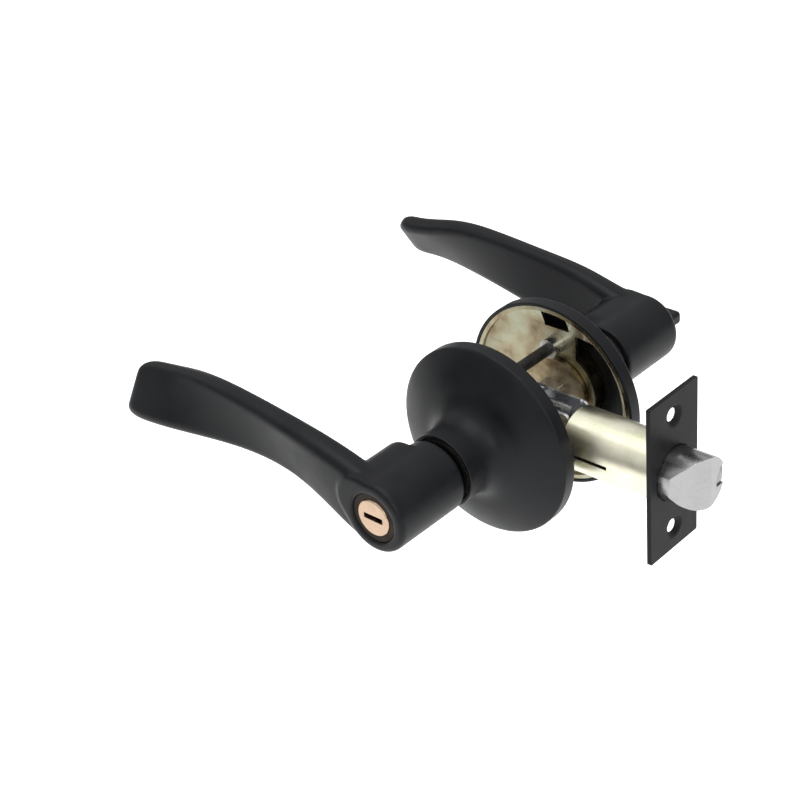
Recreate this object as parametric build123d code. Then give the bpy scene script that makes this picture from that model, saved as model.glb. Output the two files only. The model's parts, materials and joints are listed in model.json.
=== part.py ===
"""Keyed lever lockset for a hinged door: two levers on roses, a tubular latch and the parts inside.

Frame, in millimetres: the origin is on the spindle axis, midway between the roses. +X runs to the
latch faceplate, +Y from the keyed outside lever to the inside lever, and +Z is up.
"""

import os
from math import radians, sqrt, tan

from build123d import *

# Driving dimensions: the lockset as a whole
BACKSET = 60.3
ROSE_GAP = 30.8
LEVER_REACH = 111.0
OUTSIDE_STANDOFF = 58.1
INSIDE_STANDOFF = 57.6
LEVER_TURN = 60.0
BOLT_THROW = 12.4

# Driving dimensions: latch
FACEPLATE_WIDTH = 25.4
FACEPLATE_HEIGHT = 57.15
FACEPLATE_THICK = 1.6
FACEPLATE_CORNER_R = 0.5
FACEPLATE_SCREW_SPACING = 41.3
FACEPLATE_SCREW_HOLE_R = 2.3
FACEPLATE_SINK_R = 4.3
FACEPLATE_SINK_DEPTH = 1.12
TUBE_R = 10.7
TUBE_WALL = 0.8
TUBE_SLIT_SETBACK = 3.0
TUBE_SLIT_LENGTH = 15.0
TUBE_SLIT_WIDTH = 1.2
FRONT_BUSHING_LENGTH = 7.0
SPRING_STOP_THICK = 1.4
BOLT_R = 9.2
BOLT_REAR_CLEARANCE = 2.5
BOLT_STANDOFF = 0.3
BEVEL_START = 0.4
BEVEL_TIP_Y = 2.0
BEVEL_BULGE = (1.9, -1.7)
PLUNGER_HEIGHT = 6.6
PLUNGER_THICK = 3.4
PLUNGER_LENGTH = 16.0
PLUNGER_TRAVEL = 8.0
PLUNGER_SETBACK = 0.6
PLUNGER_EDGE_R = 0.4
PLUNGER_GROOVE_SETBACK = 1.6
PLUNGER_SPRING_WIRE_R = 0.22
PLUNGER_SPRING_TURNS = 6
CASE_PLATE_THICK = 1.1
CASE_HALF_WIDTH = 5.6
CASE_HALF_HEIGHT = 10.4
CASE_REAR = 13.0
CASE_TONGUE = 3.0
DRAWBAR_THICK = 1.2
DRAWBAR_YOKE = 2.8
DRAWBAR_RAIL = 3.0
DRAWBAR_BLOCK = 2.5
DRAWBAR_TAIL_R = 2.4
CAM_HUB_R = 7.2
CAM_LOBE_WIDTH = 3.2
CAM_LOBE_THICK = 4.0
DRAWBAR_PIN_R = 1.2
DRAWBAR_PIN_WALL = 0.4
DRAWBAR_ARM_OVERHANG = 0.6
RIVET_R = 1.3
RIVET_HEAD_R = 2.1
RIVET_HEAD_THICK = 0.6
SPRING_WIRE_R = 0.45
SPRING_TURNS = 9
SPRING_BORE_DEPTH = 10.0
SPRING_BORE_WALL = 0.8

# Driving dimensions: roses, chassis and spindle
ROSE_R = 33.35
ROSE_WALL_HEIGHT = 4.6
ROSE_DOME_RISE = 5.6
ROSE_SHOULDER_R = 20.0
ROSE_SHEET = 1.2
ROSE_EDGE_WIDTH = 0.8
ROSE_EDGE_RISE = 0.7
ROSE_DOME_BULGE = 0.6
ROSE_DOME_SHARE = 0.58
ROSE_SWEEP_RISE = 9.0
NECK_SPACE = 0.4
NECK_LENGTH = 25.9
PLATE_SHEET = 1.4
PLATE_LIP_SETBACK = 0.4
PLATE_LIP_DEPTH = 2.6
PLATE_FLOOR_R = 25.0
PLATE_FLOOR_DEPTH = 6.1
SCREW_OFFSET = 17.5
SCREW_R = 2.0
SCREW_HEAD_R = 3.6
SCREW_HEAD_HEIGHT = 2.0
POST_R = 3.2
SLEEVE_R = 9.5
SLEEVE_WALL = 1.5
SLEEVE_FLANGE_REACH = 2.7
SLEEVE_FLANGE_THICK = 1.6
SLEEVE_SOCKET_DEPTH = 7.5
SLEEVE_IN_HUB = 15.0
BUSHING_WALL = 1.45
BUSHING_FLANGE_REACH = 1.7
HOUSING_REACH = 4.1
HOUSING_SHEET = 1.0
HOUSING_DEPTH = 5.2
COLLAR_R = 3.4
COLLAR_LENGTH = 5.2
OPENING_INNER_R = 15.0
OPENING_OUTER_R = 27.0
OPENING_HALF_HEIGHT = 22.0
OPENING_START = 7.5
SPINDLE_SIDE = 7.9
SPINDLE_EDGE = 0.4
SPINDLE_BORE_R = 2.6
WASHER_THICK = 0.9
WASHER_SETBACK = 1.1
CLIP_THICK = 0.8
CLIP_REACH = 0.9
CLIP_MOUTH = 4.4
POST_END = -6.0
SCREW_END = -17.0

# Driving dimensions: levers, cylinder and turn button
HUB_SETBACK = 0.3
HUB_EDGE = 1.8
ROOT_LOBE_R = 9.0
ROOT_LOBE_X = -6.5
ROOT_LOBE_Z = 3.6
ROOT_SETBACK = 2.6
ROOT_SINK = 0.2
ROOT_EDGE = 3.0
ARM_EDGE_SHARE = 0.4

# The lever arm from its hub to its tip. Each section has its share of the reach, thickness, height,
# how far its middle stands back from the hub's end, rise, and its top's lean towards the door in degrees.
ARM_SECTIONS = (
    (0.0, 10.4, 22.4, 5.2, 0.4, 0.0),
    (0.11, 9.7, 24.4, 5.7, 2.2, -0.5),
    (0.22, 8.9, 23.6, 6.4, 5.6, -6.0),
    (0.37, 7.8, 21.9, 7.2, 8.8, -9.5),
    (0.55, 7.4, 20.9, 6.4, 11.0, 0.5),
    (0.75, 7.4, 21.5, 4.4, 11.1, 21.5),
    (0.91, 7.0, 20.8, 3.6, 9.2, 36.0),
    (0.97, 6.2, 18.8, 3.3, 8.5, 34.0),
    (0.993, 4.4, 15.6, 3.0, 8.1, 32.0),
    (1.0, 2.2, 11.6, 2.8, 8.0, 30.0),
)
CATCH_R = 1.6
CATCH_AXIAL = 2.6
CYLINDER_R = 8.5
CYLINDER_REAR_SPACE = 0.4
CYLINDER_RECESS = 0.7
CYLINDER_LENGTH = 22.5
PLUG_R = 6.35
PLUG_PROUD = 0.4
KEYWAY_WIDTH = 7.6
KEYWAY_HEIGHT = 1.9
WAFER_COUNT = 5
WAFER_THICK = 1.0
WAFER_PITCH = 3.4
WAFER_LENGTH = 10.0
WAFER_HEIGHT = 5.2
KEYWAY_DEPTH = 20.0
BUTTON_BLADE_LENGTH = 12.6
BUTTON_BLADE_THICK = 5.0
BUTTON_PROUD = 10.5
BUTTON_COLLAR_R = 6.6
BUTTON_STEM_R = 3.4
BUTTON_CORNER_R = 1.6
BUTTON_TOP_R = 1.2
BUTTON_GUIDE_LENGTH = 3.0
BUTTON_BAR_SEAT = 6.0
BAR_WIDTH = 3.6
BAR_THICK = 1.4
TAIL_R = 4.6
TAIL_LENGTH = 3.0
TAILPIECE_WIDTH = 5.0
TAILPIECE_THICK = 1.2
COUPLER_R = 6.2
COUPLER_LENGTH = 7.0
COUPLER_RECESS = 3.0

# Clearances
RUN = 0.05
FIT = 0.05
GAP = 0.3

# Places worked out from the sizes above
ROSE_RIM = ROSE_GAP / 2
OUTSIDE_PROJECTION = ROSE_RIM + OUTSIDE_STANDOFF
INSIDE_PROJECTION = ROSE_RIM + INSIDE_STANDOFF
SLEEVE_BORE_R = SLEEVE_R - SLEEVE_WALL
SLEEVE_FLANGE_R = SLEEVE_R + SLEEVE_FLANGE_REACH
BUSHING_R = SLEEVE_R + RUN + BUSHING_WALL
BUSHING_FLANGE_R = BUSHING_R + BUSHING_FLANGE_REACH
HOUSING_R = SLEEVE_R + HOUSING_REACH
CLIP_R = SLEEVE_R + CLIP_REACH
NECK_R = BUSHING_R + NECK_SPACE + ROSE_SHEET
HUB_R = NECK_R - HUB_SETBACK
CYLINDER_REAR_R = SLEEVE_BORE_R - CYLINDER_REAR_SPACE
NECK_END = ROSE_RIM + NECK_LENGTH
PLATE_FLOOR = ROSE_RIM + PLATE_FLOOR_DEPTH
PLATE_BACK = PLATE_FLOOR - PLATE_SHEET
HUB_START = NECK_END + WASHER_THICK + CLIP_THICK + 3 * GAP
SLEEVE_END = HUB_START + SLEEVE_IN_HUB
FACE_BACK = BACKSET - FACEPLATE_THICK
BOLT_TIP = BACKSET + BOLT_THROW
BOLT_STROKE = BOLT_THROW - BOLT_STANDOFF
PIN_HEIGHT = BOLT_STROKE / 2 / tan(radians(LEVER_TURN / 2))
PIN_REST = BOLT_STROKE / 2
LOBE_TIP_R = sqrt(PIN_HEIGHT**2 + PIN_REST**2)
BLOCK_START = LOBE_TIP_R + BOLT_STROKE + GAP
CASE_FRONT = BLOCK_START + DRAWBAR_BLOCK
TUBE_START = CASE_FRONT - CASE_TONGUE
SPRING_STOP = CASE_FRONT + GAP
BOLT_REAR = SPRING_STOP + SPRING_STOP_THICK + BOLT_STROKE + BOLT_REAR_CLEARANCE
DRAWBAR_INNER = CAM_LOBE_THICK / 2 + GAP
DRAWBAR_OUTER = DRAWBAR_INNER + DRAWBAR_THICK
CATCH_PLACE = HUB_START + CATCH_AXIAL
CLIP_GROOVE_R = SLEEVE_R - 0.5
CLIP_START = NECK_END + WASHER_THICK + 2 * (GAP / 2)
SLEEVE_START = PLATE_BACK - GAP - SLEEVE_FLANGE_THICK
HOUSING_TOP = PLATE_FLOOR + FIT + HOUSING_DEPTH
PLUG_FRONT = OUTSIDE_PROJECTION - CYLINDER_RECESS
PLUG_REAR = PLUG_FRONT - CYLINDER_LENGTH
COUPLER_START = PLUG_REAR - TAIL_LENGTH - 1.0 - COUPLER_LENGTH
BUTTON_STEM_START = SLEEVE_END - 12.0
BUTTON_CLIP = SLEEVE_END - BUTTON_GUIDE_LENGTH - GAP / 2 - CLIP_THICK


def slab(x, y, z):
    """A box between pairs of limits along each axis."""
    size = [limit[1] - limit[0] for limit in (x, y, z)]
    centre = [(limit[1] + limit[0]) / 2 for limit in (x, y, z)]
    return Pos(*centre) * Box(*size)


def rod_x(radius, start, end, y=0.0, z=0.0):
    """A round bar along X."""
    bar = Cylinder(radius, end - start, align=(Align.CENTER, Align.CENTER, Align.MIN))
    return Pos(start, y, z) * Rot(0, 90, 0) * bar


def rod_y(radius, start, end, x=0.0, z=0.0):
    """A round bar along Y."""
    bar = Cylinder(radius, end - start, align=(Align.CENTER, Align.CENTER, Align.MIN))
    return Pos(x, start, z) * Rot(-90, 0, 0) * bar


def ring_y(outer, inner, start, end):
    """A plain ring about the spindle axis."""
    return rod_y(outer, start, end) - rod_y(inner, start - 1, end + 1)


def catch_pin(radius, start, end):
    """A round bar pointing down from the spindle axis at the lever catch."""
    bar = Cylinder(radius, end - start, align=(Align.CENTER, Align.CENTER, Align.MIN))
    return Pos(0, CATCH_PLACE, -start) * Rot(180, 0, 0) * bar


def turned(outline):
    """A solid of revolution about the spindle axis from (radius, y) points."""
    return revolve(make_face(Polyline(*outline, close=True)), Axis.Y)


def outside(shape):
    """The same piece on the keyed side of the door."""
    return mirror(shape, about=Plane.XZ)


def coil(radius, wire_r, length, turns):
    """A compression spring standing on the XY plane."""
    rise = length - 2 * wire_r
    path = Helix(pitch=rise / turns, height=rise, radius=radius)
    section = Plane(origin=path @ 0, z_dir=path % 0) * Circle(wire_r)
    return Pos(0, 0, wire_r) * sweep(section, path=path, is_frenet=True)


def spring_x(radius, wire_r, start, end, turns, y=0.0):
    """A compression spring along X between two seats."""
    return Pos(start, y, 0) * Rot(0, 90, 0) * coil(radius, wire_r, end - start, turns)


# Latch -----------------------------------------------------------------------------------------


def plunger_limits():
    """The deadlatch plunger's Y limits: it lies against the round of the bolt's inside face."""
    outer = sqrt(BOLT_R**2 - (PLUNGER_HEIGHT / 2) ** 2) - GAP
    return outer - PLUNGER_THICK, outer


def plunger_groove(clearance):
    """The bar-shaped space of the plunger, from the spring's seat to past the bolt's tip."""
    low, high = plunger_limits()
    half = PLUNGER_HEIGHT / 2 + clearance
    return slab(
        (BOLT_REAR + PLUNGER_GROOVE_SETBACK, BOLT_TIP + 5),
        (low - clearance, high + clearance + 3),
        (-half, half),
    )


def spring_bore_r():
    """The bore in the bolt's tail, inside the plunger's groove by a thin wall."""
    low, _ = plunger_limits()
    return low - SPRING_BORE_WALL


def faceplate():
    plate = slab(
        (FACE_BACK, BACKSET),
        (-FACEPLATE_WIDTH / 2, FACEPLATE_WIDTH / 2),
        (-FACEPLATE_HEIGHT / 2, FACEPLATE_HEIGHT / 2),
    )
    plate = fillet(plate.edges().filter_by(Axis.X), FACEPLATE_CORNER_R)
    plate -= rod_x(BOLT_R + GAP, FACE_BACK - 1, BACKSET + 1)
    for side in (-1, 1):
        height = side * FACEPLATE_SCREW_SPACING / 2
        plate -= rod_x(FACEPLATE_SCREW_HOLE_R, FACE_BACK - 1, BACKSET + 1, z=height)
        cone = Cone(FACEPLATE_SCREW_HOLE_R, FACEPLATE_SINK_R, FACEPLATE_SINK_DEPTH)
        plate -= Pos(BACKSET - FACEPLATE_SINK_DEPTH / 2, 0, height) * Rot(0, 90, 0) * cone
    return plate


def latch_tube():
    tube = rod_x(TUBE_R, TUBE_START, FACE_BACK) - rod_x(TUBE_R - TUBE_WALL, 0, BACKSET)
    start = TUBE_START + TUBE_SLIT_SETBACK
    half = TUBE_SLIT_WIDTH / 2
    slit = slab((start, start + TUBE_SLIT_LENGTH), (-TUBE_R - 1, 0), (-half, half))
    return tube - slit


def latch_front_bushing():
    """The guide ring that is swaged inside the tube behind the faceplate."""
    start = FACE_BACK - FRONT_BUSHING_LENGTH
    ring = rod_x(TUBE_R - TUBE_WALL - FIT, start, FACE_BACK)
    return ring - rod_x(BOLT_R + RUN * 2, start - 1, BACKSET)


def spring_stop():
    """The disc across the tube that the bolt spring pushes on."""
    end = SPRING_STOP + SPRING_STOP_THICK
    disc = rod_x(TUBE_R - TUBE_WALL - FIT, SPRING_STOP, end)
    return disc - rod_x(DRAWBAR_TAIL_R + GAP, SPRING_STOP - 1, end + 1)


def latch_bolt():
    """A round bolt with a bulging bevel on the outside face, a spring bore and a plunger groove."""
    bolt = rod_x(BOLT_R, BOLT_REAR, BOLT_TIP)
    corner = Vector(BACKSET + BEVEL_START, -BOLT_R - 0.5)
    tip = Vector(BOLT_TIP, BEVEL_TIP_Y)
    bulge = (corner + tip) * 0.5 + Vector(*BEVEL_BULGE)
    bevel = make_face(
        [
            ThreePointArc(corner, bulge, tip),
            Line(tip, (BOLT_TIP + 5, BEVEL_TIP_Y)),
            Line((BOLT_TIP + 5, BEVEL_TIP_Y), (BOLT_TIP + 5, -BOLT_R - 5)),
            Line((BOLT_TIP + 5, -BOLT_R - 5), (corner.X, -BOLT_R - 5)),
            Line((corner.X, -BOLT_R - 5), corner),
        ]
    )
    bolt -= extrude(bevel, BOLT_R + 1, both=True)
    bolt -= plunger_groove(0.1)
    return bolt - rod_x(spring_bore_r(), BOLT_REAR - 1, BOLT_REAR + SPRING_BORE_DEPTH)


def deadlatch_plunger():
    low, high = plunger_limits()
    half = PLUNGER_HEIGHT / 2
    tip = BOLT_TIP - PLUNGER_SETBACK
    bar = slab((tip - PLUNGER_LENGTH, tip), (low, high + 2), (-half, half))
    bar &= rod_x(BOLT_R, tip - PLUNGER_LENGTH, tip)
    return fillet(bar.edges().group_by(Axis.X)[-1], PLUNGER_EDGE_R)


def plunger_spring():
    low, high = plunger_limits()
    wire = PLUNGER_SPRING_WIRE_R
    radius = PLUNGER_THICK / 2 - GAP - wire
    start = BOLT_REAR + PLUNGER_GROOVE_SETBACK + 2 * FIT
    end = BOLT_TIP - PLUNGER_SETBACK - PLUNGER_LENGTH - 2 * FIT
    return spring_x(radius, wire, start, end, PLUNGER_SPRING_TURNS, (low + high) / 2)


def bolt_spring():
    start = SPRING_STOP + SPRING_STOP_THICK + FIT
    end = BOLT_REAR + SPRING_BORE_DEPTH - FIT
    return spring_x(spring_bore_r() - GAP - SPRING_WIRE_R, SPRING_WIRE_R, start, end, SPRING_TURNS)


def bolt_drawbar():
    """Two side plates astride the cam, a block that joins them and a round tail that ends in the bolt."""
    yoke_start = CAM_HUB_R + BOLT_STROKE + 2 * GAP
    yoke_end = yoke_start + DRAWBAR_YOKE
    arm_half = DRAWBAR_PIN_R + DRAWBAR_PIN_WALL
    arm_low = PIN_HEIGHT - arm_half
    arm_high = PIN_HEIGHT + arm_half
    arm_start = PIN_REST - DRAWBAR_PIN_R - DRAWBAR_ARM_OVERHANG
    thick = (DRAWBAR_INNER, DRAWBAR_OUTER)
    plate = slab((yoke_start, yoke_end), thick, (-arm_high, arm_high))
    plate += slab((yoke_start, SPRING_STOP - GAP), thick, (-DRAWBAR_RAIL, DRAWBAR_RAIL))
    for height in ((arm_low, arm_high), (-arm_high, -arm_low)):
        plate += slab((arm_start, yoke_end), thick, height)
    plates = plate + mirror(plate, about=Plane.XZ)
    for height in (-PIN_HEIGHT, PIN_HEIGHT):
        plates -= rod_y(DRAWBAR_PIN_R + FIT, -DRAWBAR_OUTER - 1, DRAWBAR_OUTER + 1, PIN_REST, height)
    both_plates = (-DRAWBAR_OUTER, DRAWBAR_OUTER)
    block = slab((BLOCK_START, SPRING_STOP - GAP), both_plates, (-DRAWBAR_RAIL, DRAWBAR_RAIL))
    tail = rod_x(DRAWBAR_TAIL_R, BLOCK_START, BOLT_REAR + SPRING_BORE_DEPTH)
    return plates + block + tail


def drawbar_pins():
    return [
        rod_y(DRAWBAR_PIN_R, -DRAWBAR_OUTER, DRAWBAR_OUTER, PIN_REST, height)
        for height in (-PIN_HEIGHT, PIN_HEIGHT)
    ]


def latch_cam():
    """A hub with a square hole and two lobes, one for each way that the levers could turn."""
    cam = rod_y(CAM_HUB_R, -CASE_HALF_WIDTH, CASE_HALF_WIDTH)
    half = CAM_LOBE_THICK / 2
    rear = DRAWBAR_PIN_R + GAP
    front = rear + CAM_LOBE_WIDTH
    lobe = slab((rear, front), (-half, half), (0, LOBE_TIP_R))
    lobe &= rod_y(LOBE_TIP_R, -half, half)
    lean = LEVER_TURN / 2
    cam += Rot(0, lean, 0) * lobe
    cam += mirror(Rot(0, lean, 0) * lobe, about=Plane.XY)
    side = SPINDLE_SIDE / 2 + FIT
    return cam - slab((-side, side), (-20, 20), (-side, side))


def case_plate():
    """One of the two stamped plates that the cam turns in, with a tongue in the tube."""
    start = CASE_HALF_WIDTH - CASE_PLATE_THICK
    y = (start, CASE_HALF_WIDTH)
    tongue_r = TUBE_R - TUBE_WALL - FIT
    tongue_half = sqrt(tongue_r**2 - CASE_HALF_WIDTH**2) - 0.1
    plate = slab((-CASE_REAR, TUBE_START - GAP), y, (-CASE_HALF_HEIGHT, CASE_HALF_HEIGHT))
    plate = fillet(plate.edges().filter_by(Axis.Y), 2.0)
    plate += slab((TUBE_START - CASE_TONGUE, CASE_FRONT), y, (-tongue_half, tongue_half))
    for side in (-1, 1):
        x, z = rivet_place(side)
        plate -= rod_y(RIVET_R + FIT, 0, 20, x, z)
    return plate - rod_y(CAM_HUB_R + RUN, 0, 20)


def rivet_place(side):
    """Where a case rivet stands, in X and Z, above or below the spindle."""
    inset = RIVET_R * 2
    return -CASE_REAR + inset, side * (CASE_HALF_HEIGHT - inset)


def case_rivets():
    """Spacers that hold the case plates apart, headed over outside them."""
    rivets = []
    for side in (-1, 1):
        x, z = rivet_place(side)
        rivet = rod_y(RIVET_R, -CASE_HALF_WIDTH, CASE_HALF_WIDTH, x, z)
        for start in (-CASE_HALF_WIDTH - RIVET_HEAD_THICK, CASE_HALF_WIDTH):
            rivet += rod_y(RIVET_HEAD_R, start, start + RIVET_HEAD_THICK, x, z)
        rivets.append(rivet)
    return rivets


# Roses, chassis and spindle --------------------------------------------------------------------


def rose_body(inset):
    """The solid under the rose's skin, a given distance inside it."""
    radius = ROSE_R - inset
    neck = NECK_R - inset
    top = ROSE_RIM + ROSE_WALL_HEIGHT - inset
    shoulder = Vector(ROSE_SHOULDER_R, top + ROSE_DOME_RISE)
    middle_r = (radius + ROSE_SHOULDER_R) / 2 + ROSE_DOME_BULGE
    dome_mid = Vector(middle_r, top + ROSE_DOME_RISE * ROSE_DOME_SHARE)
    overshoot = 1.0 if inset else 0.0
    foot = ROSE_RIM - overshoot
    neck_top = NECK_END + overshoot
    neck_foot = Vector(neck, shoulder.Y + ROSE_SWEEP_RISE)
    edge = (radius - ROSE_EDGE_WIDTH, top + ROSE_EDGE_RISE)
    dome = ThreePointArc(edge, dome_mid, shoulder)
    sweep_up = Spline(shoulder, neck_foot, tangents=[dome % 1, (0, 1)])
    outline = make_face(
        [
            Line((0, foot), (radius, foot)),
            Line((radius, foot), (radius, top)),
            Line((radius, top), edge),
            dome,
            sweep_up,
            Line(neck_foot, (neck, neck_top)),
            Line((neck, neck_top), (0, neck_top)),
            Line((0, neck_top), (0, foot)),
        ]
    )
    return revolve(outline, Axis.Y)


def rose():
    """A spun cover with a straight rim, a shallow dome and a hollow neck."""
    return rose_body(0) - rose_body(ROSE_SHEET)


def mounting_plate():
    """A dished plate that fills the back of the rose, with screw holes and pressed windows."""
    lip = ROSE_RIM + PLATE_LIP_SETBACK
    shelf = lip + PLATE_LIP_DEPTH
    rim = ROSE_R - ROSE_SHEET - FIT
    sheet = PLATE_SHEET
    plate = turned(
        [
            (rim, lip),
            (rim, shelf),
            (PLATE_FLOOR_R, PLATE_FLOOR),
            (SLEEVE_R + GAP, PLATE_FLOOR),
            (SLEEVE_R + GAP, PLATE_BACK),
            (PLATE_FLOOR_R - 0.6, PLATE_BACK),
            (rim - sheet, shelf - 0.7),
            (rim - sheet, lip),
        ]
    )
    for side in (-1, 1):
        plate -= rod_y(SCREW_R + GAP, PLATE_BACK - 1, PLATE_FLOOR + 1, z=side * SCREW_OFFSET)
    window = slab((-5.0, 5.0), (lip, PLATE_FLOOR + 1), (PLATE_FLOOR_R - 2.0, rim - 3.0))
    return plate - window - latch_opening(lip)


def latch_opening(start):
    """The opening in the plate's floor and wall on the side that the latch comes in from."""
    reach = (OPENING_START, OPENING_OUTER_R)
    half = (-OPENING_HALF_HEIGHT, OPENING_HALF_HEIGHT)
    opening = slab(reach, (start, PLATE_FLOOR + 1), half)
    opening &= ring_y(OPENING_OUTER_R, OPENING_INNER_R, start, PLATE_FLOOR + 1)
    return opening


def bushing():
    """The flanged tube that the drive sleeve turns in, from the spring housing up the neck."""
    start = HOUSING_TOP + FIT
    tube = ring_y(BUSHING_R, SLEEVE_R + RUN, start, NECK_END)
    return tube + ring_y(BUSHING_FLANGE_R, SLEEVE_R + RUN, start, start + 1.2)


def spring_housing():
    """The cup that holds the lever's return spring, upside down on the outer side of the plate."""
    start = PLATE_FLOOR + FIT
    cup = ring_y(HOUSING_R, HOUSING_R - HOUSING_SHEET, start, HOUSING_TOP)
    floor = ring_y(HOUSING_R, SLEEVE_R + GAP, HOUSING_TOP - HOUSING_SHEET, HOUSING_TOP)
    ear = slab((-HOUSING_R - 4.5, 0.5 - HOUSING_R), (start, start + HOUSING_SHEET), (-4, 4))
    return cup + floor + ear


def return_spring():
    """A flat spiral spring between the drive sleeve and its housing."""
    radius = SLEEVE_R + 0.55
    step = 0.5
    centre = 0.0
    arcs = []
    for half_turn in range(4):
        arcs.append(CenterArc((centre, 0), radius, 180 * (half_turn % 2), 180))
        centre += step / 2 if half_turn % 2 else -step / 2
        radius += step / 2
    strip = trace(Curve() + arcs, line_width=0.4)
    low = PLATE_FLOOR + GAP
    high = HOUSING_TOP - HOUSING_SHEET - GAP
    return Pos(0, high, 0) * Rot(90, 0, 0) * extrude(strip, high - low)


def drive_sleeve():
    """The tube that carries the lever, with a square socket for the spindle and a lever catch hole."""
    sleeve = ring_y(SLEEVE_R, SLEEVE_BORE_R, SLEEVE_START, SLEEVE_END)
    sleeve += rod_y(SLEEVE_FLANGE_R, SLEEVE_START, SLEEVE_START + SLEEVE_FLANGE_THICK)
    web_end = SLEEVE_START + SLEEVE_SOCKET_DEPTH
    side = SPINDLE_SIDE / 2 + FIT
    sleeve += rod_y(SLEEVE_BORE_R + 0.1, SLEEVE_START, web_end)
    sleeve -= slab((-side, side), (0, web_end + 1), (-side, side))
    sleeve -= ring_y(SLEEVE_R + 1, CLIP_GROOVE_R, CLIP_START - FIT, CLIP_START + CLIP_THICK + FIT)
    return sleeve - catch_pin(CATCH_R + FIT, 0, 20)


def circlip():
    """An open ring in the sleeve's groove, which stops the sleeve sliding back through the neck."""
    ring = ring_y(CLIP_R, CLIP_GROOVE_R + FIT, CLIP_START, CLIP_START + CLIP_THICK)
    half_mouth = CLIP_MOUTH / 2
    return ring - slab((-half_mouth, half_mouth), (0, SLEEVE_END), (0, CLIP_R + 1))


def gap_washer():
    """The dark washer that shows between the neck and the lever."""
    start = NECK_END + GAP / 2
    return ring_y(HUB_R - WASHER_SETBACK, SLEEVE_R + GAP / 2, start, start + WASHER_THICK)


def spindle():
    """The square bar that joins both drive sleeves through the cam, bored for the locking bar."""
    half = SPINDLE_SIDE / 2
    end = SLEEVE_START + SLEEVE_SOCKET_DEPTH - GAP
    bar = slab((-half, half), (-end, end), (-half, half))
    bar = chamfer(bar.edges().filter_by(Axis.Y), SPINDLE_EDGE)
    return bar - rod_y(SPINDLE_BORE_R, -end - 1, end + 1)


def mounting_posts():
    """Tapped posts on the outside plate that the screws pull up on."""
    posts = []
    for side in (-1, 1):
        height = side * SCREW_OFFSET
        post = rod_y(POST_R, -PLATE_BACK + FIT, POST_END, z=height)
        posts.append(post - rod_y(SCREW_R + FIT, -PLATE_BACK - 1, POST_END + 1, z=height))
    return posts


def screw_collars():
    """Bright collars on the inside plate that keep the mounting screws square."""
    start = PLATE_BACK - COLLAR_LENGTH
    collars = []
    for side in (-1, 1):
        collar = rod_y(COLLAR_R, start, PLATE_BACK - FIT, z=side * SCREW_OFFSET)
        collars.append(collar - rod_y(SCREW_R + FIT, start - 1, PLATE_BACK, z=side * SCREW_OFFSET))
    return collars


def mounting_screws():
    """Flat-headed machine screws from the inside plate into the posts."""
    screws = []
    for side in (-1, 1):
        height = side * SCREW_OFFSET
        top = PLATE_FLOOR + FIT
        head = rod_y(SCREW_HEAD_R, top, top + SCREW_HEAD_HEIGHT, z=height)
        slot = slab((-0.5, 0.5), (top + 1.0, top + 5), (height - 4, height + 4))
        screws.append(head + rod_y(SCREW_R, SCREW_END, top + 0.5, z=height) - slot)
    return screws


# Levers, cylinder and turn button --------------------------------------------------------------


def arm_section(share, thick, height, setback, rise, lean, projection):
    """One cross-section of the lever's arm, as a rounded rectangle in a plane across X."""
    centre = (-share * LEVER_REACH, projection - setback, rise)
    across = Vector(0, 1, 0).rotate(Axis.X, lean)
    plane = Plane(origin=centre, x_dir=across, z_dir=(-1, 0, 0))
    return plane * RectangleRounded(thick, height, thick * ARM_EDGE_SHARE)


def lever_root(projection):
    """The rounded lobe along the hub that the arm grows from."""
    inside_hub = Circle(HUB_R - ROOT_SINK).edges()
    lobe = (Pos(ROOT_LOBE_X, -ROOT_LOBE_Z) * Circle(ROOT_LOBE_R)).edges()
    start = HUB_START + ROOT_SETBACK
    across_hub = Plane(origin=(0, start, 0), x_dir=(1, 0, 0), z_dir=(0, 1, 0))
    root = extrude(across_hub * make_hull(inside_hub + lobe), projection - start)
    root = fillet(root.edges().group_by(Axis.Y)[-1], HUB_EDGE)
    return chamfer(root.edges().group_by(Axis.Y)[0], ROOT_EDGE)


def lever(projection, bore):
    """A cast lever: a hub with a lobed root, and an arm that rises from it and twists to its tip."""
    hub = rod_y(HUB_R, HUB_START, projection)
    hub = fillet(hub.edges().group_by(Axis.Y)[-1], HUB_EDGE)
    arm = loft([arm_section(*section, projection) for section in ARM_SECTIONS])
    body = hub + lever_root(projection) + arm
    body -= rod_y(SLEEVE_R + FIT, HUB_START - 1, SLEEVE_END + GAP)
    body -= bore
    return body - catch_pin(CATCH_R + FIT, 0, 20)


def outside_lever():
    bore = rod_y(CYLINDER_R + FIT, SLEEVE_END - 1, OUTSIDE_PROJECTION + 1)
    return outside(lever(OUTSIDE_PROJECTION, bore))


def inside_lever():
    bore = rod_y(BUTTON_COLLAR_R + RUN, SLEEVE_END - 1, INSIDE_PROJECTION + 1)
    return lever(INSIDE_PROJECTION, bore)


def lever_catch():
    """The sprung pin that holds the lever on its sleeve, pushed in through a hole under the hub."""
    seat = SLEEVE_BORE_R - 0.6
    return catch_pin(CATCH_R, seat, HUB_R - 0.6) + catch_pin(CATCH_R + 0.7, seat - 0.5, seat)


def catch_spring():
    """The curved leaf inside the sleeve that pushes the catch out."""
    outer = SLEEVE_BORE_R - 1.15
    leaf = ring_y(outer, outer - 0.35, CATCH_PLACE - 1.8, CATCH_PLACE + 1.8)
    return leaf - slab((-20, 20), (0, 99), (-3.5, 20))


def cylinder_body():
    """The lock cylinder's housing: a front part in the lever's hub and a rear part in the sleeve."""
    body = rod_y(CYLINDER_R, SLEEVE_END + GAP, PLUG_FRONT)
    body += rod_y(CYLINDER_REAR_R, PLUG_REAR, PLUG_FRONT - 1)
    return outside(body - rod_y(PLUG_R + RUN, PLUG_REAR - 1, PLUG_FRONT + 1))


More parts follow.
